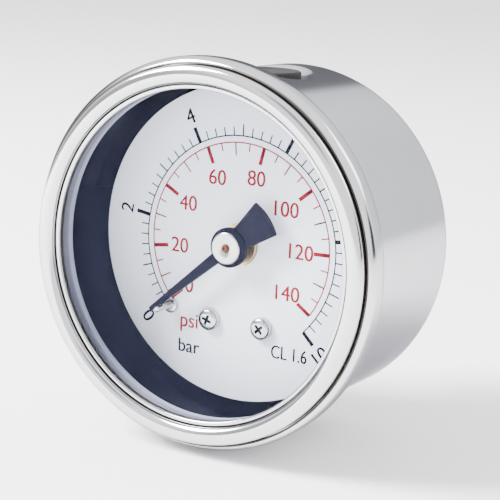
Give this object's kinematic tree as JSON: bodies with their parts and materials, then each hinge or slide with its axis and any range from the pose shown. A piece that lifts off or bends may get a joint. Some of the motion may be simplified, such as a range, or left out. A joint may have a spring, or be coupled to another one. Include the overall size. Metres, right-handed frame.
{
  "type": "pressure gauge",
  "caption": "Back-connection dial pressure gauge with a polished stainless case, a dual bar and psi scale, a Bourdon tube movement and a rubber vent plug.",
  "frame": {"origin": "on the gauge's axis at the end face of the threaded stem", "axes": "+Y along the axis, out of the pipe thread, so the dial faces -Y; +Z is 12 o'clock on the dial; +X is 3 o'clock seen from the front"},
  "size_m": [0.068, 0.0602, 0.068],
  "materials": {
    "polished_stainless": "polished stainless steel, type 304",
    "window_glass": "clear instrument glass",
    "grey_rubber": "grey nitrile flat gasket",
    "dial_paint": "matt white paint on aluminium, printed scales",
    "screw_steel": "bright steel",
    "movement_brass": "machined brass",
    "socket_brass": "forged and machined brass",
    "spring_bronze": "phosphor bronze",
    "pointer_paint": "satin black paint on aluminium",
    "black_rubber": "black nitrile rubber"
  },
  "bodies": {
    "housing": {"case": "polished_stainless", "bezel_ring": "polished_stainless", "window": "window_glass", "window_gasket": "grey_rubber", "dial": "dial_paint", "dial_post_left": "movement_brass", "dial_post_right": "movement_brass", "dial_screw_left": "screw_steel", "dial_screw_right": "screw_steel", "stop_pin": "screw_steel", "arbor_bushing": "movement_brass", "movement_front_plate": "movement_brass", "movement_back_plate": "movement_brass", "movement_pillar_left": "movement_brass", "movement_pillar_right": "movement_brass", "plate_screw_left": "screw_steel", "plate_screw_right": "screw_steel", "base_screw_left": "screw_steel", "base_screw_right": "screw_steel", "hairspring": "spring_bronze", "hairspring_stud": "movement_brass", "bourdon_tube": "spring_bronze", "socket": "socket_brass", "socket_seal": "black_rubber", "restrictor_screw": "socket_brass", "case_screw_left": "screw_steel", "case_screw_right": "screw_steel"},
    "pointer_shaft": {"pointer": "pointer_paint", "pointer_hub": "screw_steel", "pointer_arbor": "spring_bronze", "pinion": "movement_brass", "hairspring_collet": "movement_brass"},
    "sector": {"sector_gear": "movement_brass", "sector_arbor": "screw_steel", "link_screw": "screw_steel"},
    "tube_tip": {"tube_tip": "movement_brass", "tip_pin": "screw_steel"},
    "link": {"link": "screw_steel"},
    "vent_plug": {"vent_plug": "black_rubber"}
  },
  "joints": [
    {"name": "pointer_turn", "type": "hinge", "parent": "housing", "child": "pointer_shaft", "pos_m": [0, -0.0439, 0], "axis": [0, 1, 0], "range_deg": [0, 265], "stiffness_Nm_per_rad": 0.00002, "springref_deg": -17.19, "deforming": ["hairspring"]},
    {"name": "sector_turn", "type": "hinge", "parent": "housing", "child": "sector", "pos_m": [0.01016, -0.0382, -0.01097], "axis": [0, 1, 0], "range_deg": [-22.08, 0]},
    {"name": "tip_swing", "type": "hinge", "parent": "housing", "child": "tube_tip", "pos_m": [-0.00564, -0.0298, 0.00731], "axis": [0, 1, 0], "range_deg": [-4.74, 0], "deforming": ["bourdon_tube"]},
    {"name": "link_turn", "type": "hinge", "parent": "tube_tip", "child": "link", "pos_m": [0.0197, -0.037, -0.0072], "axis": [0, 1, 0], "range_deg": [0, 7]},
    {"name": "plug_lift", "type": "slide", "parent": "housing", "child": "vent_plug", "axis": [0, 0, 1], "range_m": [0, 0.006]}
  ],
  "couplings": [
    {"joint": "sector_turn", "follows": "pointer_turn", "ratio": -0.083333},
    {"joint": "tip_swing", "follows": "pointer_turn", "ratio": -0.01787},
    {"joint": "link_turn", "follows": "pointer_turn", "ratio": 0.0264}
  ]
}
